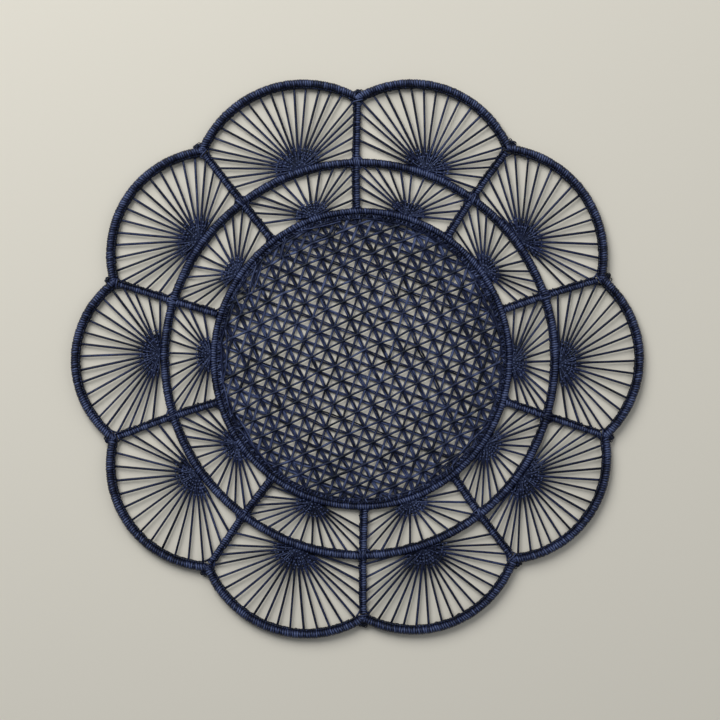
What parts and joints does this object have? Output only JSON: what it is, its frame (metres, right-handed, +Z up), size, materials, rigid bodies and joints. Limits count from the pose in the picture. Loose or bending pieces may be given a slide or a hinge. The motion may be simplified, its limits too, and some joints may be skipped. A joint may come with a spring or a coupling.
{
  "type": "woven palm placemat",
  "caption": "Round scalloped openwork placemat of navy palm fibre: wrapped wire rim, rings and spokes, with thread fans on woven hubs and a netted middle.",
  "frame": {"origin": "under the middle of the mat's box, on the surface that it lies on", "axes": "+Z up out of the table; the mat lies in the XY plane, +X across its widest reach and +Y away from the viewer"},
  "size_m": [0.3808, 0.3716, 0.0066],
  "materials": {
    "wrapping": "tightly wrapped navy palm fibre with a dull sheen, every turn a small ridge",
    "thread": "stretched, lightly twisted navy palm thread",
    "net": "interlaced pairs of navy palm strands, a little paler on top"
  },
  "bodies": {
    "root": {"rim": "wrapping", "middle_ring": "wrapping", "inner_ring": "wrapping", "outer_spoke_01": "wrapping", "outer_spoke_02": "wrapping", "outer_spoke_03": "wrapping", "outer_spoke_04": "wrapping", "outer_spoke_05": "wrapping", "outer_spoke_06": "wrapping", "outer_spoke_07": "wrapping", "outer_spoke_08": "wrapping", "outer_spoke_09": "wrapping", "outer_spoke_10": "wrapping", "inner_spoke_01": "wrapping", "inner_spoke_02": "wrapping", "inner_spoke_03": "wrapping", "inner_spoke_04": "wrapping", "inner_spoke_05": "wrapping", "inner_spoke_06": "wrapping", "inner_spoke_07": "wrapping", "inner_spoke_08": "wrapping", "inner_spoke_09": "wrapping", "inner_spoke_10": "wrapping", "knot_01": "wrapping", "knot_02": "wrapping", "knot_03": "wrapping", "knot_04": "wrapping", "knot_05": "wrapping", "knot_06": "wrapping", "knot_07": "wrapping", "knot_08": "wrapping", "knot_09": "wrapping", "knot_10": "wrapping", "outer_fan_01": "thread", "outer_fan_02": "thread", "outer_fan_03": "thread", "outer_fan_04": "thread", "outer_fan_05": "thread", "outer_fan_06": "thread", "outer_fan_07": "thread", "outer_fan_08": "thread", "outer_fan_09": "thread", "outer_fan_10": "thread", "inner_fan_01": "thread", "inner_fan_02": "thread", "inner_fan_03": "thread", "inner_fan_04": "thread", "inner_fan_05": "thread", "inner_fan_06": "thread", "inner_fan_07": "thread", "inner_fan_08": "thread", "inner_fan_09": "thread", "inner_fan_10": "thread", "centre_net": "net"}
  },
  "joints": []
}
